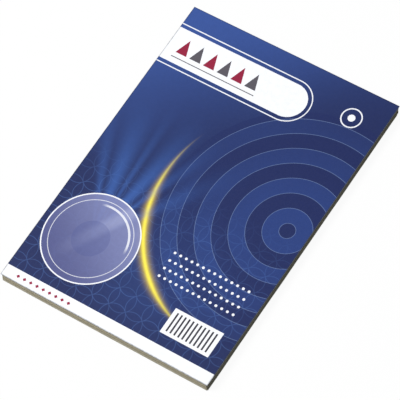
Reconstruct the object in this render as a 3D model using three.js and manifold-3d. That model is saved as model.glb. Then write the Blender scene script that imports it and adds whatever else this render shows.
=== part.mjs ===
// A retail pack of ten C5 self-seal mailing pockets under one loose cover sheet.
// Millimetres, +Z up. X runs along the short side, Y along the long side.
// The origin is the middle of the footprint, at the height of the surface that the pack lies on.
// The pockets lie on their backs: address side up, seam and flaps down. Their mouths point to +Y.
import * as THREE from 'three';
import { mergeVertices } from 'three/addons/utils/BufferGeometryUtils.js';
import Module from 'manifold-3d';

// ---------------------------------------------------------------- driving dimensions
const COVER_W = 162; // C5, short side
const COVER_L = 229; // C5, long side
const COVER_T = 0.25; // printed card, about 220 g per square metre
const POCKET_COUNT = 10;
const POCKET_W = 161.4; // pockets run a little under the nominal size
const POCKET_L = 228.4;
const PAPER = 0.115; // kraft paper of 90 g per square metre
const REST_GAP = 0.025; // air left between one pocket and the next

// heights of the layers of one pocket, from its lowest face up
const FLAP_Z = 0; // closure flap and bottom flap, on the outside of the back
const BACK_Z = 0.135; // back halves
const LAP_Z = 0.27; // the half that runs inside along the seam
const FRONT_Z = 0.485; // address side
const POCKET_T = FRONT_Z + PAPER; // 0.6 in all

const SEAM_LAP = 14; // overlap of the two back halves
const SEAM_GLUE = 10; // width of the glue line in the overlap
const SEAM_STEP = 1.5; // length over which the inner half rises into the overlap
const SHOULDER = 0.7; // how far the flaps start in from the side folds
const CLOSURE_FLAP = 38; // depth of the closure flap
const CLOSURE_TAPER = 9; // how much each side of it comes in
const CLOSURE_R = 7; // its corner radius
const BOTTOM_FLAP = 21; // depth of the glued bottom flap
const BOTTOM_TAPER = 8;
const BOTTOM_R = 3;
const GLUE_INSET = 3; // bottom flap's edge to its glue
const MOUTH_SETBACK = 1.8; // back edge of the mouth, in from the closure crease
const END_SETBACK = 0.3; // back edge at the closed end, in from the bottom crease
const ARC_STEPS = 6; // facets of a fold
const CORNER_STEPS = 4; // facets of a flap's corner

// the cover's middle: the stack leans a little under it, and the origin stays in the middle of the whole footprint
const COVER_AT = [0, 0.545];
// how far each pocket lies from the cover's middle, in X and Y, from the top one down
const SHIFT = [
  [0.22, -0.1], [0.12, -0.16], [0.27, -0.28], [0.16, -0.55], [0.28, -0.7],
  [0.1, -0.71], [0.25, -0.96], [0.14, -0.98], [0.26, -1.18], [0.2, -1.39],
];

// ---------------------------------------------------------------- helpers
const wasm = await Module();
wasm.setup();

// a closed shape as a solid that can be joined to others
function solid(geometry) {
  const g = geometry.index ? geometry.toNonIndexed() : geometry.clone();
  g.deleteAttribute('normal');
  g.deleteAttribute('uv');
  // on a grid of a ten-thousandth of a millimetre, so that faces that share a plane share it exactly
  const p = g.attributes.position;
  for (let i = 0; i < p.array.length; i++) p.array[i] = Math.round(p.array[i] * 1e4) / 1e4;
  const m = mergeVertices(g, 1e-5);
  return new wasm.Manifold(new wasm.Mesh({
    numProp: 3,
    vertProperties: new Float32Array(m.attributes.position.array),
    triVerts: new Uint32Array(m.index.array),
  }));
}

// the joined solids as one faceted surface
function geometryOf(manifold) {
  const mesh = manifold.getMesh();
  const g = new THREE.BufferGeometry();
  g.setAttribute('position', new THREE.BufferAttribute(new Float32Array(mesh.vertProperties), 3));
  g.setIndex(new THREE.BufferAttribute(new Uint32Array(mesh.triVerts), 1));
  const flat = g.toNonIndexed();
  flat.computeVertexNormals();
  return flat;
}

// a plain block between two corners
function block(low, high) {
  const g = new THREE.BoxGeometry(high[0] - low[0], high[1] - low[1], high[2] - low[2]);
  g.translate((low[0] + high[0]) / 2, (low[1] + high[1]) / 2, (low[2] + high[2]) / 2);
  return g;
}

// outline in X and Y, from z0 up to z1
function plate(points, z0, z1) {
  const g = new THREE.ExtrudeGeometry(new THREE.Shape(points), { depth: z1 - z0, bevelEnabled: false });
  g.translate(0, 0, z0);
  return g;
}

// the corners of a flap, from its crease at y = 0 down to y = -depth: it narrows by taper a side, with round corners
function flapCorners(halfWidth, depth, taper, radius) {
  const slope = Math.hypot(taper, depth);
  const [tx, ty] = [taper / slope, depth / slope];
  const w = halfWidth - taper;
  const s = new THREE.Shape();
  s.moveTo(-halfWidth, 0);
  s.lineTo(-w - tx * radius, -depth + ty * radius);
  s.quadraticCurveTo(-w, -depth, -w + radius, -depth);
  s.lineTo(w - radius, -depth);
  s.quadraticCurveTo(w, -depth, w + tx * radius, -depth + ty * radius);
  s.lineTo(halfWidth, 0);
  return s.getPoints(CORNER_STEPS);
}

// A sheet of paper from its flat blank. panels are outlines on the blank, anticlockwise, that share their edges' corners;
// fold takes a point of the blank to { at, up }: its place on the folded sheet's middle surface, and which way the
// printed face looks there. Both faces lie half a thickness from it, and the cut edges are closed between them.
function foldedSheet(panels, fold, thick) {
  const points = [];
  const index = new Map();
  const id = (p) => {
    const key = p.x.toFixed(4) + ',' + p.y.toFixed(4);
    if (!index.has(key)) {
      index.set(key, points.length);
      points.push(p);
    }
    return index.get(key);
  };
  const faces = [];
  const edges = new Map();
  for (const outline of panels) {
    const ids = outline.map(id);
    for (const [i, j, k] of THREE.ShapeUtils.triangulateShape(outline, [])) faces.push([ids[i], ids[j], ids[k]]);
    ids.forEach((from, i) => {
      const to = ids[(i + 1) % ids.length];
      if (edges.has(to + '>' + from)) edges.delete(to + '>' + from);
      else edges.set(from + '>' + to, [from, to]);
    });
  }
  const face = (p, side) => {
    const { at, up } = fold(p);
    return at.clone().addScaledVector(up, side * thick / 2).toArray();
  };
  const printed = points.map((p) => face(p, 1));
  const inside = points.map((p) => face(p, -1));
  const out = [];
  for (const [i, j, k] of faces) {
    out.push(...printed[i], ...printed[j], ...printed[k]);
    out.push(...inside[i], ...inside[k], ...inside[j]);
  }
  for (const [from, to] of edges.values()) {
    out.push(...printed[from], ...inside[from], ...inside[to]);
    out.push(...printed[from], ...inside[to], ...printed[to]);
  }
  const g = new THREE.BufferGeometry();
  g.setAttribute('position', new THREE.Float32BufferAttribute(out, 3));
  return g;
}

// ---------------------------------------------------------------- one pocket
// One sheet of kraft paper, folded and glued: address side, two back halves lapped along a seam,
// a bottom flap glued to the back, and a closure flap folded over the open mouth.
function pocketGeometry() {
  const half = PAPER / 2;
  const front = FRONT_Z + half;
  const back = BACK_Z + half;
  const lap = LAP_Z + half;
  const flap = FLAP_Z + half;

  const sideR = (front - back) / 2; // side folds
  const sideX = POCKET_W / 2 - sideR - half;
  const endR = (front - flap) / 2; // creases of the two flaps
  const endY = POCKET_L / 2 - endR - half;
  const flapHalf = POCKET_W / 2 - SHOULDER;
  const y0 = -endY + END_SETBACK; // the back halves run from y0 to y1
  const y1 = endY - MOUTH_SETBACK;
  const V2 = (x, y) => new THREE.Vector2(x, y);
  const V3 = (x, y, z) => new THREE.Vector3(x, y, z);

  // past a crease the blank turns round it by half a turn, and then runs back
  const turned = (past, r) => {
    const a = Math.min(past / r, Math.PI);
    return { out: a < Math.PI ? r * Math.sin(a) : Math.PI * r - past, up: Math.cos(a), side: a < Math.PI ? Math.sin(a) : 0 };
  };
  const stepX = sideX - SEAM_LAP / 2 - 0.5 - SEAM_STEP; // run of the inner half before it rises into the lap
  const fold = (p) => {
    if (Math.abs(p.x) > sideX + 1e-6) {
      const s = Math.sign(p.x);
      const t = turned(Math.abs(p.x) - sideX, sideR);
      let z = (front + back) / 2 + sideR * t.up;
      if (s < 0) z += (lap - back) * THREE.MathUtils.clamp((-t.out - stepX) / SEAM_STEP, 0, 1);
      return { at: V3(s * (sideX + t.out), p.y, z), up: V3(s * t.side, 0, t.up) };
    }
    if (Math.abs(p.y) > endY + 1e-6) {
      const s = Math.sign(p.y);
      const t = turned(Math.abs(p.y) - endY, endR);
      return { at: V3(p.x, s * (endY + t.out), (front + flap) / 2 + endR * t.up), up: V3(0, s * t.side, t.up) };
    }
    return { at: V3(p.x, p.y, front), up: V3(0, 0, 1) };
  };

  const panels = [[
    V2(-sideX, -endY), V2(-flapHalf, -endY), V2(flapHalf, -endY), V2(sideX, -endY),
    V2(sideX, y0), V2(sideX, y1), V2(sideX, endY),
    V2(flapHalf, endY), V2(-flapHalf, endY), V2(-sideX, endY),
    V2(-sideX, y1), V2(-sideX, y0)]];
  const band = (s, from, to) => { // between two distances past the middle, on one side of the blank
    const [a, b] = s > 0 ? [from, to] : [-to, -from];
    panels.push([V2(a, y0), V2(b, y0), V2(b, y1), V2(a, y1)]);
  };
  for (const s of [-1, 1]) {
    for (let i = 0; i < ARC_STEPS; i++) {
      band(s, sideX + Math.PI * sideR * i / ARC_STEPS, sideX + Math.PI * sideR * (i + 1) / ARC_STEPS);
    }
    const turn = sideX + Math.PI * sideR;
    const run = sideX + s * SEAM_LAP / 2; // the outer half stops at -SEAM_LAP / 2, the inner one goes on to SEAM_LAP / 2
    if (s > 0) band(s, turn, turn + run);
    else {
      band(s, turn, turn + stepX);
      band(s, turn + stepX, turn + stepX + SEAM_STEP);
      band(s, turn + stepX + SEAM_STEP, turn + sideX + SEAM_LAP / 2);
    }
  }
  for (const s of [-1, 1]) {
    for (let i = 0; i < ARC_STEPS; i++) {
      const a = endY + Math.PI * endR * i / ARC_STEPS;
      const b = endY + Math.PI * endR * (i + 1) / ARC_STEPS;
      const [low, high] = s > 0 ? [a, b] : [-b, -a];
      panels.push([V2(-flapHalf, low), V2(flapHalf, low), V2(flapHalf, high), V2(-flapHalf, high)]);
    }
    const corners = s > 0
      ? flapCorners(flapHalf, CLOSURE_FLAP, CLOSURE_TAPER, CLOSURE_R)
      : flapCorners(flapHalf, BOTTOM_FLAP, BOTTOM_TAPER, BOTTOM_R);
    const crease = s * (endY + Math.PI * endR);
    const placed = corners.map((c) => V2(c.x, crease - s * c.y));
    panels.push(s > 0 ? placed.reverse() : placed);
  }
  const paper = foldedSheet(panels, fold, PAPER);

  // glue: one line along the seam, and a patch under the bottom flap. Each reaches 0.01 mm into the paper on both sides.
  const seam = block(
    [-SEAM_GLUE / 2, y0 + 2, BACK_Z + PAPER - 0.01],
    [SEAM_GLUE / 2, y1 - 2, LAP_Z + 0.01]);
  const patch = plate(
    flapCorners(flapHalf - 2 * GLUE_INSET, BOTTOM_FLAP - 2 * GLUE_INSET, BOTTOM_TAPER / 2, BOTTOM_R)
      .map((c) => V2(c.x, -endY + GLUE_INSET - c.y)),
    FLAP_Z + PAPER - 0.01, BACK_Z + 0.01);
  return geometryOf(solid(paper).add(solid(seam)).add(solid(patch)));
}

// ---------------------------------------------------------------- the pack
const pack = new THREE.Group();

const coverOutline = new THREE.Shape([
  new THREE.Vector2(-COVER_W / 2, -COVER_L / 2), new THREE.Vector2(COVER_W / 2, -COVER_L / 2),
  new THREE.Vector2(COVER_W / 2, COVER_L / 2), new THREE.Vector2(-COVER_W / 2, COVER_L / 2)]);
const coverGeometry = new THREE.ExtrudeGeometry(coverOutline, { depth: COVER_T, bevelEnabled: false });
const cover = new THREE.Mesh(coverGeometry, new THREE.MeshStandardMaterial({
  color: new THREE.Color().setRGB(41 / 255, 55 / 255, 104 / 255, THREE.SRGBColorSpace), roughness: 0.4, metalness: 0 }));
cover.name = 'cover_sheet';
cover.position.set(COVER_AT[0], COVER_AT[1], POCKET_COUNT * (POCKET_T + REST_GAP));
pack.add(cover);

const pocket = pocketGeometry();
for (let i = 0; i < POCKET_COUNT; i++) {
  const mesh = new THREE.Mesh(pocket, new THREE.MeshStandardMaterial({
    color: new THREE.Color().setRGB(158 / 255, 151 / 255, 129 / 255, THREE.SRGBColorSpace), roughness: 0.85, metalness: 0 }));
  mesh.name = 'envelope_' + String(i + 1).padStart(2, '0');
  mesh.position.set(COVER_AT[0] + SHIFT[i][0], COVER_AT[1] + SHIFT[i][1], (POCKET_COUNT - 1 - i) * (POCKET_T + REST_GAP));
  pack.add(mesh);
}

export default pack;
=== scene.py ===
"""A pack of ten C5 mailing pockets under a printed cover sheet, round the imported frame. Metres, +Z up."""
import math

import bpy
import numpy as np
from mathutils import Matrix, Vector


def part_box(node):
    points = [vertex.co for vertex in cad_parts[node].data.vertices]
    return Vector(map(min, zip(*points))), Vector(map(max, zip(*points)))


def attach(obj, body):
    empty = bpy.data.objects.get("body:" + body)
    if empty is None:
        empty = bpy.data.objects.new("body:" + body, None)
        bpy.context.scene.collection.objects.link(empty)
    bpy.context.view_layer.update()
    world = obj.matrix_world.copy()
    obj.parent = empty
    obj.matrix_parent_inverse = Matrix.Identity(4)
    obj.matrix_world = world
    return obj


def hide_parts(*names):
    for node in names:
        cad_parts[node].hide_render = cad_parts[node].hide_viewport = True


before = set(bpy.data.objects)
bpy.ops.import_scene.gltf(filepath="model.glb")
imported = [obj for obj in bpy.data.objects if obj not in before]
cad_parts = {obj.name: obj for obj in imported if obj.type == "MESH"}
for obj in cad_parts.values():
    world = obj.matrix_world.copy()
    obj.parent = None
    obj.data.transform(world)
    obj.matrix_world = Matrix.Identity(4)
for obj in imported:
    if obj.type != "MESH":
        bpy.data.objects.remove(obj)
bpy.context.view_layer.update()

MM = 0.001
COVER_W, COVER_L = 162.0, 229.0
POCKET_W, POCKET_L = 161.4, 228.4
PAPER = 0.115
BACK_Z, LAP_Z, FRONT_Z = 0.135, 0.27, 0.485  # heights of one pocket's layers over its lowest face
SEAM_LAP, SEAM_STEP = 14.0, 1.5
SHOULDER = 0.7
CLOSURE_FLAP, CLOSURE_TAPER, CLOSURE_R = 38.0, 9.0, 7.0
BOTTOM_FLAP, BOTTOM_TAPER, BOTTOM_R = 21.0, 8.0, 3.0
MOUTH_SETBACK, END_SETBACK = 1.8, 0.3
STACK_T = 6.5


# ---------------------------------------------------------------- camera
def make_camera():
    az, el, roll = math.radians(-49.617), math.radians(60.067), math.radians(-18.329)
    cx, cy, dist, focal_px = 0.995, -3.540, 1965.4, 3031.8
    d = Vector((math.sin(az) * math.cos(el), math.cos(az) * math.cos(el), -math.sin(el)))
    r = Vector((math.cos(az), -math.sin(az), 0.0))
    u = r.cross(d)
    c, s = math.cos(roll), math.sin(roll)
    right, up = c * r + s * u, -s * r + c * u
    place = Vector((cx, cy, 0.0)) - d * dist
    m = Matrix((right, up, -d)).transposed().to_4x4()
    m.translation = place * MM
    data = bpy.data.cameras.new("camera")
    data.sensor_width = 36.0
    data.lens = focal_px / 400.0 * 36.0
    data.clip_start, data.clip_end = 0.05, 50.0
    cam = bpy.data.objects.new("camera", data)
    cam.matrix_world = m
    bpy.context.scene.collection.objects.link(cam)
    bpy.context.scene.camera = cam


make_camera()


# ---------------------------------------------------------------- smooth repeatable noise
def waves(seed, count, shortest, longest):
    """Terms of a smooth random field: directions, wavelengths in mm and phases."""
    g = np.random.default_rng(seed)
    a = g.uniform(0, 2 * math.pi, count)
    wl = np.exp(g.uniform(math.log(shortest), math.log(longest), count))
    return np.cos(a) * 2 * math.pi / wl, np.sin(a) * 2 * math.pi / wl, g.uniform(0, 2 * math.pi, count), g.uniform(0.5, 1.0, count)


def field(terms, x, y):
    kx, ky, ph, am = terms
    x, y = np.asarray(x, float), np.asarray(y, float)
    s = np.zeros(np.broadcast(x, y).shape)
    for a, b, p, m in zip(kx, ky, ph, am):
        s = s + m * np.sin(a * x + b * y + p)
    return s / math.sqrt(0.5 * float((am ** 2).sum()))


SAG = waves(11, 7, 90, 260)


def settle(x, y, z):
    """The whole stack settles a little towards its middle: a height in the flat stack to one in the settled stack."""
    mid = np.clip(1 - (x / 81.0) ** 2, 0, 1) * np.clip(1 - (y / 114.5) ** 2, 0, 1)
    drop = 0.10 * mid + 0.018 * (1.2 + field(SAG, x, y))
    return z * (1 - np.clip(drop, 0, None) / STACK_T)


def fit_box(v, node):
    """Stretches a piece's X and Y by a hair so that it fills its node's box exactly and goes no further."""
    lo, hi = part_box(node)
    for k in (0, 1):
        a, b = v[:, k].min(), v[:, k].max()
        v[:, k] = lo[k] / MM + (v[:, k] - a) * (hi[k] - lo[k]) / MM / (b - a)
    return v


# ---------------------------------------------------------------- meshes
def mesh_object(name, verts_mm, faces, mats, face_mats=None, sharp=None, uvs=None):
    me = bpy.data.meshes.new(name)
    me.from_pydata([tuple(v) for v in np.asarray(verts_mm) * MM], [], faces)
    for m in mats:
        me.materials.append(m)
    me.polygons.foreach_set("use_smooth", [True] * len(me.polygons))
    if face_mats is not None:
        me.polygons.foreach_set("material_index", face_mats)
    if sharp:
        for e in me.edges:
            if tuple(sorted(e.vertices)) in sharp:
                e.use_edge_sharp = True
    if uvs is not None:
        layer = me.uv_layers.new(name="OFBake")
        layer.data.foreach_set("uv", np.asarray(uvs, np.float32).ravel())
    me.update()
    me.validate()
    ob = bpy.data.objects.new(name, me)
    bpy.context.scene.collection.objects.link(ob)
    return ob


def steps(a, b, size):
    n = max(1, int(math.ceil(abs(b - a) / size)))
    return list(np.linspace(a, b, n + 1))


def sheet_of_paper(name, cells, fold, thick, mats, tweak):
    """One sheet from its flat blank. cells are quads of blank points that share corners, anticlockwise on the outer face.
    fold gives a point's place on the middle surface and its outward normal; both faces and the cut edges are made."""
    key, pts = {}, []

    def pid(p):
        k = (round(p[0], 4), round(p[1], 4))
        if k not in key:
            key[k] = len(pts)
            pts.append(k)
        return key[k]

    quads = []
    for c in cells:
        ids = []
        for p in c:
            i = pid(p)
            if i not in ids:
                ids.append(i)
        if len(ids) > 2:
            quads.append(tuple(ids))
    edges = {}
    for q in quads:
        for i, a in enumerate(q):
            b = q[(i + 1) % len(q)]
            if (b, a) in edges:
                del edges[(b, a)]
            else:
                edges[(a, b)] = True
    n = len(pts)
    at, up = np.zeros((n, 3)), np.zeros((n, 3))
    for i, p in enumerate(pts):
        at[i], up[i] = fold(*p)
    outer, inner = at + up * thick / 2, at - up * thick / 2
    verts = tweak(np.vstack([outer, inner]))
    faces = [q for q in quads] + [tuple(n + i for i in reversed(q)) for q in quads]
    slots = [0] * len(faces)
    sharp = set()
    for a, b in edges:
        faces.append((a, n + a, n + b, b))
        slots.append(len(mats) - 1)
        sharp.add(tuple(sorted((a, b))))
        sharp.add(tuple(sorted((n + a, n + b))))
    return mesh_object(name, verts, faces, mats, slots, sharp)


def pocket_cells():
    """The blank of a pocket as quads, and the function that folds it."""
    half = PAPER / 2
    front, back, lap, flap = FRONT_Z + half, BACK_Z + half, LAP_Z + half, half
    side_r, end_r = (front - back) / 2, (front - flap) / 2
    side_x = POCKET_W / 2 - side_r - half
    end_y = POCKET_L / 2 - end_r - half
    flap_half = POCKET_W / 2 - SHOULDER
    y0, y1 = -end_y + END_SETBACK, end_y - MOUTH_SETBACK
    run_in = side_x - SEAM_LAP / 2 - 0.5 - SEAM_STEP
    arcs = 10

    xs = [-side_x] + steps(-flap_half, flap_half, 5.0) + [side_x]
    ys = [-end_y] + steps(y0, y1, 5.0) + [end_y]
    cells = []

    def grid(us, vs):
        for u0, u1 in zip(us, us[1:]):
            for v0, v1 in zip(vs, vs[1:]):
                cells.append([(u0, v0), (u1, v0), (u1, v1), (u0, v1)])

    grid(xs, ys)
    inner_ys = ys[1:-1]
    turn = [side_x + math.pi * side_r * i / arcs for i in range(arcs + 1)]
    right = turn + steps(turn[-1], turn[-1] + side_x + SEAM_LAP / 2, 6.0)[1:]
    left = turn + steps(turn[-1], turn[-1] + run_in, 6.0)[1:]
    left += steps(left[-1], left[-1] + SEAM_STEP, 0.5)[1:] + steps(left[-1] + SEAM_STEP, turn[-1] + side_x + SEAM_LAP / 2, 5.0)[1:]
    grid(right, inner_ys)
    grid([-u for u in reversed(left)], inner_ys)

    cols = xs[1:-1]
    ends = [end_y + math.pi * end_r * i / arcs for i in range(arcs + 1)]
    grid(cols, ends)
    grid(cols, [-v for v in reversed(ends)])

    def flap_rows(depth, taper, radius):
        """Distances from the crease, with the flap's half width at each, round corners included."""
        rows = steps(0, depth - radius, 3.5)
        out = [(v, flap_half - taper * v / depth) for v in rows]
        w = flap_half - taper * (depth - radius) / depth
        for i in range(1, 9):
            a = math.pi / 2 * i / 8
            out.append((depth - radius + radius * math.sin(a), w - radius * (1 - math.cos(a)) - taper * radius / depth * math.sin(a)))
        return out

    for s, (depth, taper, radius) in ((1, (CLOSURE_FLAP, CLOSURE_TAPER, CLOSURE_R)), (-1, (BOTTOM_FLAP, BOTTOM_TAPER, BOTTOM_R))):
        rows = flap_rows(depth, taper, radius)
        for (v0, w0), (v1, w1) in zip(rows, rows[1:]):
            for c0, c1 in zip(cols, cols[1:]):
                a, b = c0 / flap_half, c1 / flap_half
                q = [(a * w0, ends[-1] + v0), (b * w0, ends[-1] + v0), (b * w1, ends[-1] + v1), (a * w1, ends[-1] + v1)]
                if s < 0:
                    q = [(x, -y) for x, y in reversed(q)]
                cells.append(q)

    def turned(past, r):
        a = past / r
        if a < math.pi:
            return r * math.sin(a), math.cos(a), math.sin(a)
        return math.pi * r - past, -1.0, 0.0

    def fold(u, v):
        if abs(u) > side_x + 1e-3 and abs(v) < end_y - 1e-3:
            s = math.copysign(1, u)
            out, up, side = turned(abs(u) - side_x, side_r)
            z = (front + back) / 2 + side_r * up
            if s < 0:
                t = min(1, max(0, (-out - run_in) / SEAM_STEP))
                z += (lap - back) * t * t * (3 - 2 * t)
            return (s * (side_x + out), v, z), (s * side, 0, up)
        if abs(v) > end_y + 1e-3:
            s = math.copysign(1, v)
            out, up, side = turned(abs(v) - end_y, end_r)
            return (u, s * (end_y + out), (front + flap) / 2 + end_r * up), (0, s * side, up)
        return (u, v, front), (0, 0, 1)

    return cells, fold


# ---------------------------------------------------------------- node helpers
class Nodes:
    """Arithmetic on shader sockets."""

    def __init__(self, name):
        self.mat = bpy.data.materials.new(name)
        self.mat.use_nodes = True
        self.tree = self.mat.node_tree
        self.shader = next(n for n in self.tree.nodes if n.type == "BSDF_PRINCIPLED")

    def node(self, kind, **props):
        n = self.tree.nodes.new(kind)
        for k, v in props.items():
            setattr(n, k, v)
        return n

    def put(self, socket, value):
        if isinstance(value, bpy.types.NodeSocket):
            self.tree.links.new(value, socket)
        else:
            socket.default_value = value

    def m(self, op, a, b=None, c=None, clamp=False):
        n = self.node("ShaderNodeMath", operation=op, use_clamp=clamp)
        self.put(n.inputs[0], a)
        if b is not None:
            self.put(n.inputs[1], b)
        if c is not None:
            self.put(n.inputs[2], c)
        return n.outputs[0]

    def add(self, a, b): return self.m("ADD", a, b)
    def sub(self, a, b): return self.m("SUBTRACT", a, b)
    def mul(self, a, b): return self.m("MULTIPLY", a, b)
    def mn(self, a, b): return self.m("MINIMUM", a, b)
    def mx(self, a, b): return self.m("MAXIMUM", a, b)
    def ab(self, a): return self.m("ABSOLUTE", a)
    def one_minus(self, a): return self.m("SUBTRACT", 1.0, a)

    def ramp(self, v, lo, hi, a=0.0, b=1.0, smooth=False):
        n = self.node("ShaderNodeMapRange", interpolation_type="SMOOTHSTEP" if smooth else "LINEAR")
        for s, x in zip(n.inputs[:5], (v, lo, hi, a, b)):
            self.put(s, x)
        return n.outputs[0]

    def inside(self, dist, soft=0.12):
        """1 where a signed distance in mm is below 0."""
        return self.ramp(dist, soft / 2, -soft / 2)

    def coords(self, rot=0.0):
        """The object's X, Y and Z in mm."""
        t = self.node("ShaderNodeTexCoord")
        s = self.node("ShaderNodeVectorMath", operation="SCALE")
        self.tree.links.new(t.outputs["Object"], s.inputs[0])
        s.inputs["Scale"].default_value = 1000.0
        x = self.node("ShaderNodeSeparateXYZ")
        self.tree.links.new(s.outputs[0], x.inputs[0])
        return s.outputs[0], x.outputs[0], x.outputs[1], x.outputs[2]

    def vec(self, x, y, z=0.0):
        n = self.node("ShaderNodeCombineXYZ")
        for s, v in zip(n.inputs, (x, y, z)):
            self.put(s, v)
        return n.outputs[0]

    def length(self, x, y):
        return self.m("SQRT", self.add(self.mul(x, x), self.mul(y, y)))

    def noise(self, vector, scale, detail=2.0, rough=0.5, lac=2.0, out="Fac"):
        n = self.node("ShaderNodeTexNoise")
        self.tree.links.new(vector, n.inputs["Vector"])
        n.inputs["Scale"].default_value = scale
        n.inputs["Detail"].default_value = detail
        n.inputs["Roughness"].default_value = rough
        n.inputs["Lacunarity"].default_value = lac
        return n.outputs[out]

    def mix(self, fac, a, b, blend="MIX"):
        n = self.node("ShaderNodeMix", data_type="RGBA", blend_type=blend)
        f, ca, cb = n.inputs[0], n.inputs[6], n.inputs[7]
        for s, v in ((f, fac), (ca, a), (cb, b)):
            if isinstance(v, tuple):
                v = (*v[:3], 1.0)
            self.put(s, v)
        return n.outputs[2]

    def bump(self, height, strength, distance, normal=None):
        n = self.node("ShaderNodeBump")
        n.inputs["Strength"].default_value = strength
        n.inputs["Distance"].default_value = distance
        self.tree.links.new(height, n.inputs["Height"])
        if normal is not None:
            self.tree.links.new(normal, n.inputs["Normal"])
        return n.outputs["Normal"]

    # signed distances in mm
    def circle(self, x, y, cx, cy, r):
        return self.sub(self.length(self.sub(x, cx), self.sub(y, cy)), r)

    def ring(self, x, y, cx, cy, r, width):
        return self.sub(self.ab(self.circle(x, y, cx, cy, r)), width / 2)

    def box(self, x, y, cx, cy, hx, hy):
        return self.mx(self.sub(self.ab(self.sub(x, cx)), hx), self.sub(self.ab(self.sub(y, cy)), hy))

    def plane(self, x, y, nx, ny, d):
        """Distance past the line nx x + ny y = d; nx, ny is a unit vector."""
        return self.sub(self.add(self.mul(x, nx), self.mul(y, ny)), d)


def lin(r, g, b):
    """8-bit sRGB to linear."""
    return tuple(((v / 255 + 0.055) / 1.055) ** 2.4 if v > 10 else v / 255 / 12.92 for v in (r, g, b))


# ---------------------------------------------------------------- materials
WHITE = (0.89, 0.90, 0.94)


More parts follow.
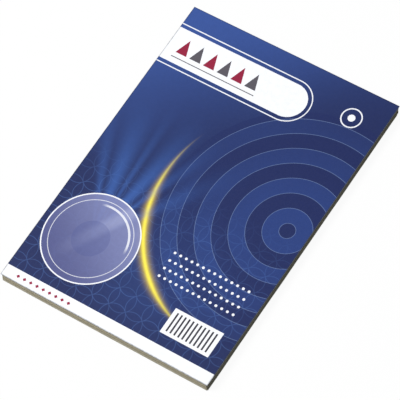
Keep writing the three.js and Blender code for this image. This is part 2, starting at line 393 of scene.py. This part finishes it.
def print_material():
    """Coated card, printed: a deep blue ground with plain circles, bands, dots and a yellow sweep."""
    g = Nodes("cover_print")
    vec, x, y, z = g.coords()
    lo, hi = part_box("cover_sheet")  # the design is laid out from the middle of the card
    x = g.sub(x, (lo.x + hi.x) / 2 / MM)
    y = g.sub(y, (lo.y + hi.y) / 2 / MM)

    # ground: royal blue in the far left corner, navy elsewhere, soft lighter pools below
    navy, royal = lin(28, 41, 90), lin(53, 81, 150)
    t = g.ramp(g.plane(x, y, -0.62, 0.785, 0.0), 18.0, 140.0, smooth=True)
    col = g.mix(t, navy, royal)
    pool = g.ramp(g.length(g.mul(g.sub(x, 14.0), 0.9), g.sub(y, -58.0)), 62.0, 4.0, smooth=True)
    col = g.mix(g.mul(pool, 0.55), col, lin(46, 74, 140))
    deep = g.ramp(g.length(g.sub(x, 66.0), g.mul(g.sub(y, 70.0), 0.8)), 70.0, 10.0, smooth=True)
    col = g.mix(g.mul(deep, 0.5), col, lin(28, 39, 86))

    # lower half: a lattice of interlaced circles, fading out upwards
    S, R = 13.0, 13.0 / math.sqrt(2)
    line = None
    for ox, oy in ((0, 0), (S, 0), (0, S), (S, S)):
        # distance to the nearest centre of a lattice of twice the spacing
        px = g.m("PINGPONG", g.add(x, 1300.0 + ox), S)
        py = g.m("PINGPONG", g.add(y, 1300.0 + oy), S)
        dist = g.sub(g.ab(g.sub(g.length(px, py), R)), 0.22)
        line = dist if line is None else g.mn(line, dist)
    fade = g.ramp(y, 8.0, -40.0, smooth=True)
    lattice = g.mul(g.inside(line, 0.3), g.mul(fade, 0.34))
    col = g.mix(lattice, col, lin(84, 120, 186))
    tile = g.node("ShaderNodeTexWhiteNoise", noise_dimensions="2D")
    ti = g.m("FLOOR", g.m("DIVIDE", g.add(x, 1300.0 + S / 2), S))
    tj = g.m("FLOOR", g.m("DIVIDE", g.add(y, 1300.0 + S / 2), S))
    g.tree.links.new(g.vec(ti, tj), tile.inputs["Vector"])
    col = g.mix(g.mul(g.mul(tile.outputs["Value"], fade), 0.30), col, lin(24, 35, 80))

    # middle: broad concentric bands round a centre near the right edge
    cx, cy = 66.0, 2.0
    rad = g.length(g.sub(x, cx), g.sub(y, cy))
    within = g.inside(g.sub(rad, 88.0), 0.15)
    band = g.m("PINGPONG", rad, 11.0)
    dark = g.mul(within, g.inside(g.sub(band, 5.5), 0.15))
    col = g.mix(g.mul(dark, 0.42), col, lin(22, 35, 90))
    light = g.mul(within, g.inside(g.sub(5.5, band), 0.15))
    col = g.mix(g.mul(light, g.ramp(rad, 90.0, 20.0, 0.10, 0.34)), col, lin(50, 84, 164))
    rim = g.inside(g.sub(g.ab(g.sub(band, 5.5)), 0.16), 0.2)
    col = g.mix(g.mul(g.mul(rim, within), 0.35), col, lin(150, 176, 222))

    # a yellow sweep outside the bands, brightest at the lower left
    ang = g.m("ARCTAN2", g.sub(y, cy), g.sub(x, cx))  # -pi to pi
    turn = g.m("MODULO", g.add(ang, 2 * math.pi), 2 * math.pi)
    along = g.mul(g.ramp(turn, 2.75, 3.55, smooth=True), g.ramp(turn, 4.62, 4.0, smooth=True))
    off = g.m("DIVIDE", g.sub(rad, 93.5), g.add(g.mul(along, 0.75), 0.25))  # thin at both ends
    glow = g.m("EXPONENT", g.mul(g.mul(off, off), -1 / (2 * 2.3 ** 2)))
    core = g.m("EXPONENT", g.mul(g.mul(off, off), -1 / (2 * 0.95 ** 2)))
    col = g.mix(g.mul(g.mul(glow, along), 0.70), col, lin(214, 184, 60))
    col = g.mix(g.mul(g.mul(core, along), 0.95), col, lin(252, 236, 84))

    # lower left: a pale see-through disc with a white rim, and soft rays that rise from behind it
    dx, dy, dr = -43.5, -64.5, 33.0
    ox, oy = g.sub(x, dx), g.sub(y, dy)
    far = g.length(ox, oy)
    around = g.m("ARCTAN2", oy, ox)
    rays = None
    for middle, width, strength in ((1.22, 0.040, 0.55), (1.42, 0.070, 0.85), (1.62, 0.030, 0.60), (1.80, 0.075, 0.80), (2.02, 0.045, 0.50), (0.98, 0.060, 0.40)):
        a = g.m("DIVIDE", g.sub(around, middle), width)
        ray = g.mul(g.m("EXPONENT", g.mul(g.mul(a, a), -0.5)), strength)
        rays = ray if rays is None else g.mx(rays, ray)
    beam = g.mul(rays, g.ramp(far, 118.0, 30.0, smooth=True))
    col = g.mix(g.mul(beam, 0.62), col, lin(66, 112, 196))
    disc = g.circle(x, y, dx, dy, dr)
    slope = g.ramp(g.plane(x, y, 0.6, 0.8, dx * 0.6 + dy * 0.8), -dr, dr, smooth=True)
    glass = g.mix(slope, lin(88, 92, 142), lin(132, 138, 184))
    col = g.mix(g.mul(g.inside(disc), 0.84), col, glass)
    gleam = g.ramp(g.ab(g.plane(x, y, 0.86, -0.51, dx * 0.86 - dy * 0.51 - 3.0)), 7.0, 1.0, smooth=True)
    col = g.mix(g.mul(g.mul(gleam, g.inside(disc)), g.mul(slope, 0.30)), col, lin(186, 192, 226))
    col = g.mix(g.mul(g.inside(g.circle(x, y, dx, dy, 13.0)), 0.30), col, lin(70, 80, 140))
    col = g.mix(g.mul(g.inside(g.ring(x, y, dx, dy, 28.4, 0.5)), 0.70), col, WHITE)
    upper = g.ramp(g.ab(g.sub(around, 0.95)), 0.95, 0.65, smooth=True)
    col = g.mix(g.mul(g.inside(g.ring(x, y, dx, dy, 25.4, 1.5)), g.mul(upper, 0.75)), col, WHITE)
    col = g.mix(g.inside(g.ring(x, y, dx, dy, dr, 0.9)), col, WHITE)

    # upper left: a white band running in from the edge, with a round end and a thin line round it
    reach = g.mx(g.sub(x, 14.0), 0.0)
    pill = g.sub(g.length(reach, g.sub(y, 84.0)), 13.0)
    col = g.mix(g.inside(g.sub(g.ab(g.sub(pill, 3.0)), 0.38), 0.15), col, WHITE)
    col = g.mix(g.inside(pill), col, WHITE)

    # a row of triangles on the band, dark red and grey by turns
    tx = g.m("FLOORED_MODULO", g.add(x, 74.0), 11.0)  # 0 to 11 in each cell
    up_tri = g.mx(g.sub(g.ab(g.sub(tx, 5.5)), g.mul(g.sub(91.0, y), 0.36)), g.sub(79.0, y))
    cell = g.m("FLOOR", g.m("DIVIDE", g.add(x, 74.0), 11.0))
    odd = g.m("MODULO", g.add(cell, 20.0), 2.0)
    in_row = g.mul(g.inside(g.sub(g.ab(g.sub(cell, 2.5)), 2.6), 0.1), g.inside(up_tri))
    shade = g.mix(odd, lin(146, 28, 60), lin(88, 84, 92))
    col = g.mix(in_row, col, shade)
    rule = g.inside(g.box(x, y, -41.0, 75.4, 33.0, 0.35))
    col = g.mix(rule, col, lin(110, 108, 112))

    # upper right: a small ring with a dot
    col = g.mix(g.inside(g.ring(x, y, 58.0, 92.0, 7.0, 0.9)), col, WHITE)
    col = g.mix(g.inside(g.circle(x, y, 58.0, 92.0, 2.6)), col, WHITE)
    # rows of small white dots beside the disc
    sx = g.m("FLOORED_MODULO", x, 4.4)
    sy = g.m("FLOORED_MODULO", y, 6.2)
    dots = g.circle(sx, sy, 2.2, 3.1, 0.95)
    region = g.box(x, y, 39.6, -55.8, 30.8 - 0.01, 12.4 - 0.01)
    col = g.mix(g.mul(g.inside(dots), g.inside(region)), col, WHITE)

    # lower right: a white field of even stripes
    field_box = g.box(x, y, 52.0, -88.5, 18.5, 9.5)
    col = g.mix(g.inside(field_box), col, WHITE)
    st = g.m("FLOORED_MODULO", g.add(x, 0.5), 3.0)
    stripes = g.mul(g.inside(g.sub(g.ab(g.sub(st, 1.5)), 0.62)), g.inside(g.box(x, y, 52.0, -88.5, 16.4, 7.2)))
    col = g.mix(stripes, col, lin(52, 50, 60))

    # near edge: a plain white strip with a short row of dark red diamonds
    col = g.mix(g.inside(g.add(y, 105.9)), col, WHITE)
    ex = g.m("FLOORED_MODULO", g.add(x, 72.0), 5.0)
    diamond = g.sub(g.add(g.ab(g.sub(ex, 2.5)), g.ab(g.sub(y, -110.2))), 1.35)
    span = g.sub(g.ab(g.sub(x, -49.5)), 22.4)
    col = g.mix(g.mul(g.inside(diamond), g.inside(span)), col, lin(150, 30, 66))

    # the trimmed edge: a hair of slightly dark card all round, partly wear and partly painted shade along the cut edge
    edge = g.mn(g.sub(COVER_W / 2, g.ab(x)), g.sub(COVER_L / 2, g.ab(y)))
    # painted shade: the card darkens towards its cut edge, broken up a little by wear
    edge_wear_and_painted_shade = g.ramp(edge, 0.85, 0.05, 0.0, 0.72)
    col = g.mix(g.mul(edge_wear_and_painted_shade, g.ramp(g.noise(vec, 0.5, 3.0), 0.35, 0.6, 0.6, 1.0)), col, (0.020, 0.026, 0.048))

    # ink laid on card: very slight mottle
    mottle = g.noise(vec, 0.35, 3.0)
    col = g.mix(g.ramp(mottle, 0.35, 0.65, 0.0, 0.045), col, (0.0, 0.0, 0.0))
    g.tree.links.new(col, g.shader.inputs["Base Color"])
    rough = g.ramp(g.noise(vec, 0.9, 4.0), 0.3, 0.7, 0.36, 0.46)
    g.tree.links.new(rough, g.shader.inputs["Roughness"])
    g.shader.inputs["Specular IOR Level"].default_value = 0.28
    grain = g.add(g.mul(g.noise(vec, 6.0, 3.0), 0.5), g.mul(g.noise(vec, 0.05, 2.0), 3.0))
    g.tree.links.new(g.bump(grain, 0.06, 0.00005), g.shader.inputs["Normal"])
    return g.mat


def card_material():
    """The unprinted card: its back and its cut edges."""
    g = Nodes("card_white")
    vec, x, y, z = g.coords()
    fibre = g.noise(g.vec(g.mul(x, 0.4), y, g.mul(z, 4.0)), 1.6, 5.0, 0.6)
    g.tree.links.new(g.mix(g.ramp(fibre, 0.3, 0.7), (0.80, 0.79, 0.76), (0.90, 0.90, 0.88)), g.shader.inputs["Base Color"])
    g.shader.inputs["Roughness"].default_value = 0.8
    g.shader.inputs["Specular IOR Level"].default_value = 0.25
    g.tree.links.new(g.bump(fibre, 0.25, 0.00005), g.shader.inputs["Normal"])
    return g.mat


def kraft_material(name, tone, warm, seed, edge=False):
    """Brown kraft paper: fibres, faint ribs from the paper machine, cloudy formation."""
    g = Nodes(name)
    vec, x, y, z = g.coords()
    base = (0.343 * tone, 0.308 * tone * (1 - 0.03 * warm), 0.220 * tone * (1 - 0.10 * warm))
    ox, oy = 37.0 * seed, 53.0 * seed
    cloud = g.noise(g.vec(g.add(x, ox), g.add(y, oy), g.mul(z, 2.0)), 0.16, 4.0, 0.55)
    fibre = g.noise(g.vec(g.mul(g.add(x, ox), 3.2), g.mul(g.add(y, oy), 0.55), g.mul(z, 3.0)), 1.1, 6.0, 0.62)
    fleck = g.noise(g.vec(g.mul(g.add(x, oy), 1.0), g.mul(g.add(y, ox), 2.4), z), 1.7, 3.0, 0.6)
    col = g.mix(g.ramp(cloud, 0.32, 0.68), tuple(c * 0.90 for c in base), tuple(c * 1.07 for c in base))
    col = g.mix(g.ramp(fibre, 0.30, 0.72, 0.0, 0.5), col, tuple(c * 0.72 for c in base))
    col = g.mix(g.ramp(fleck, 0.66, 0.74, 0.0, 0.35), col, tuple(c * 0.50 for c in base))
    if edge:  # cut edges are a little lighter and rougher
        col = g.mix(0.35, col, tuple(min(1, c * 1.25) for c in base))
    g.tree.links.new(col, g.shader.inputs["Base Color"])
    g.tree.links.new(g.ramp(fibre, 0.3, 0.7, 0.70, 0.86), g.shader.inputs["Roughness"])
    g.shader.inputs["Specular IOR Level"].default_value = 0.30
    ribs = g.m("PINGPONG", g.add(x, 500.0), 0.55)
    height = g.add(g.mul(ribs, 0.5), g.mul(fibre, 0.8))
    g.tree.links.new(g.bump(height, 0.35, 0.00006), g.shader.inputs["Normal"])
    return g.mat


# ---------------------------------------------------------------- the cover
def make_cover():
    lo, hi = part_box("cover_sheet")
    z0, z1 = lo.z / MM, hi.z / MM
    mx, my = (lo.x + hi.x) / 2 / MM, (lo.y + hi.y) / 2 / MM
    xs, ys = steps(-COVER_W / 2, COVER_W / 2, 3.0), steps(-COVER_L / 2, COVER_L / 2, 3.0)
    nx, ny = len(xs), len(ys)
    verts = []
    for z in (z1, z0):
        for y in ys:
            for x in xs:
                verts.append((x, y, z))
    verts = np.array(verts)
    flat = verts.copy()
    verts[:, 0] += mx
    verts[:, 1] += my
    verts[:, 2] = settle(verts[:, 0], verts[:, 1], verts[:, 2])
    n = nx * ny
    faces, slots, sharp, uvs = [], [], set(), []
    top_uv = lambda x, y: (0.01 + (x + COVER_W / 2) / COVER_W * 0.80, 0.01 + (y + COVER_L / 2) / COVER_L * 0.98)
    low_uv = lambda x, y: (0.83 + (x + COVER_W / 2) / COVER_W * 0.16, 0.01 + (y + COVER_L / 2) / COVER_L * 0.26)
    for j in range(ny - 1):
        for i in range(nx - 1):
            a = j * nx + i
            q = (a, a + 1, a + nx + 1, a + nx)
            faces.append(q)
            slots.append(0)
            uvs += [top_uv(*flat[k][:2]) for k in q]
    for j in range(ny - 1):
        for i in range(nx - 1):
            a = n + j * nx + i
            q = (a + nx, a + nx + 1, a + 1, a)
            faces.append(q)
            slots.append(1)
            uvs += [low_uv(*flat[k][:2]) for k in q]
    rim = [i for i in range(nx)] + [j * nx + nx - 1 for j in range(1, ny)]
    rim += [(ny - 1) * nx + i for i in range(nx - 2, -1, -1)] + [j * nx for j in range(ny - 2, 0, -1)]
    for k, a in enumerate(rim):
        b = rim[(k + 1) % len(rim)]
        faces.append((a, n + a, n + b, b))
        slots.append(1)
        t0, t1 = k / len(rim), (k + 1) / len(rim)
        uvs += [(0.83 + 0.16 * t0, 0.45), (0.83 + 0.16 * t0, 0.43), (0.83 + 0.16 * t1, 0.43), (0.83 + 0.16 * t1, 0.45)]
        sharp.add(tuple(sorted((a, b))))
        sharp.add(tuple(sorted((n + a, n + b))))
    ob = mesh_object("cover_print_sheet", verts, faces, [print_material(), card_material()], slots, sharp, uvs)
    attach(ob, "root")
    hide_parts("cover_sheet")


# ---------------------------------------------------------------- the pockets
def make_pockets():
    cells, fold = pocket_cells()
    rng = np.random.default_rng(5)
    for i in range(1, 11):
        node = f"envelope_{i:02d}"
        lo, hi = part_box(node)
        mid = (lo + hi) / 2 / MM
        z0 = lo.z / MM
        turn = math.radians(float(rng.uniform(-0.035, 0.035)))
        edge_x, edge_y = waves(100 + i, 6, 30, 160), waves(200 + i, 6, 30, 160)
        tone, warm = float(rng.uniform(0.84, 1.08)), float(rng.uniform(-1.0, 1.0))

        def tweak(v, node=node, mid=mid, z0=z0, turn=turn, ex=edge_x, ey=edge_y):
            v = v.copy()
            x, y = v[:, 0].copy(), v[:, 1].copy()
            # the folds wander a few hundredths of a millimetre
            v[:, 0] += 0.045 * field(ex, 0 * x, y) * np.abs(x) / 80.7
            v[:, 1] += 0.045 * field(ey, x, 0 * y) * np.abs(y) / 114.2
            c, s = math.cos(turn), math.sin(turn)
            v[:, 0], v[:, 1] = c * v[:, 0] - s * v[:, 1] + mid.x, s * v[:, 0] + c * v[:, 1] + mid.y
            v = fit_box(v, node)
            v[:, 2] = settle(v[:, 0], v[:, 1], v[:, 2] + z0)
            return v

        mats = [kraft_material(f"kraft_{i:02d}", tone, warm, i), kraft_material(f"kraft_edge_{i:02d}", tone, warm, i, edge=True)]
        ob = sheet_of_paper(f"pocket_{i:02d}", cells, fold, PAPER, mats, tweak)
        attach(ob, "root")
        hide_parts(node)


make_cover()
make_pockets()


# ---------------------------------------------------------------- floor, light, background
def make_stage():
    bpy.ops.mesh.primitive_plane_add(size=3.0, location=(0, 0, -0.00004))
    floor = bpy.context.object
    floor.name = "floor"
    g = Nodes("floor_white")
    g.shader.inputs["Base Color"].default_value = (0.05, 0.05, 0.05, 1)
    g.shader.inputs["Roughness"].default_value = 1.0
    g.shader.inputs["Specular IOR Level"].default_value = 0.0
    g.shader.inputs["Emission Color"].default_value = (1, 1, 1, 1)
    g.shader.inputs["Emission Strength"].default_value = 0.94
    floor.data.materials.append(g.mat)
    floor.visible_diffuse = False  # a light table: no bounce back up the sides
    floor.visible_glossy = False

    world = bpy.data.worlds.new("studio")
    bpy.context.scene.world = world
    world.use_nodes = True
    nt = world.node_tree
    nt.nodes.clear()
    out = nt.nodes.new("ShaderNodeOutputWorld")
    mix = nt.nodes.new("ShaderNodeMixShader")
    seen = nt.nodes.new("ShaderNodeBackground")
    seen.inputs[0].default_value = (1, 1, 1, 1)
    seen.inputs[1].default_value = 0.98
    soft = nt.nodes.new("ShaderNodeBackground")
    soft.inputs[0].default_value = (0.86, 0.93, 1.0, 1)
    way = nt.nodes.new("ShaderNodeTexCoord")
    split = nt.nodes.new("ShaderNodeSeparateXYZ")
    level = nt.nodes.new("ShaderNodeMapRange")
    for k, v in enumerate((-0.05, 0.35, 0.20, 0.34)):
        level.inputs[k + 1].default_value = v
    nt.links.new(way.outputs["Generated"], split.inputs[0])
    nt.links.new(split.outputs[2], level.inputs[0])
    nt.links.new(level.outputs[0], soft.inputs[1])
    path = nt.nodes.new("ShaderNodeLightPath")
    nt.links.new(path.outputs["Is Camera Ray"], mix.inputs[0])
    nt.links.new(soft.outputs[0], mix.inputs[1])
    nt.links.new(seen.outputs[0], mix.inputs[2])
    nt.links.new(mix.outputs[0], out.inputs[0])

    def area(name, place, power, size, colour=(1, 1, 1)):
        data = bpy.data.lights.new(name, "AREA")
        data.shape = "SQUARE"
        data.size = size
        data.energy = power
        data.color = colour
        ob = bpy.data.objects.new(name, data)
        ob.location = place
        ob.rotation_euler = (-Vector(place)).to_track_quat("-Z", "Y").to_euler()
        bpy.context.scene.collection.objects.link(ob)

    area("key", (-2.20, -1.10, 3.12), 184.0, 1.7, (1.0, 0.985, 0.955))
    sc = bpy.context.scene
    sc.view_settings.view_transform = "Standard"
    sc.view_settings.look = "None"
    sc.view_settings.exposure = 0.0
    sc.view_settings.gamma = 1.0


make_stage()
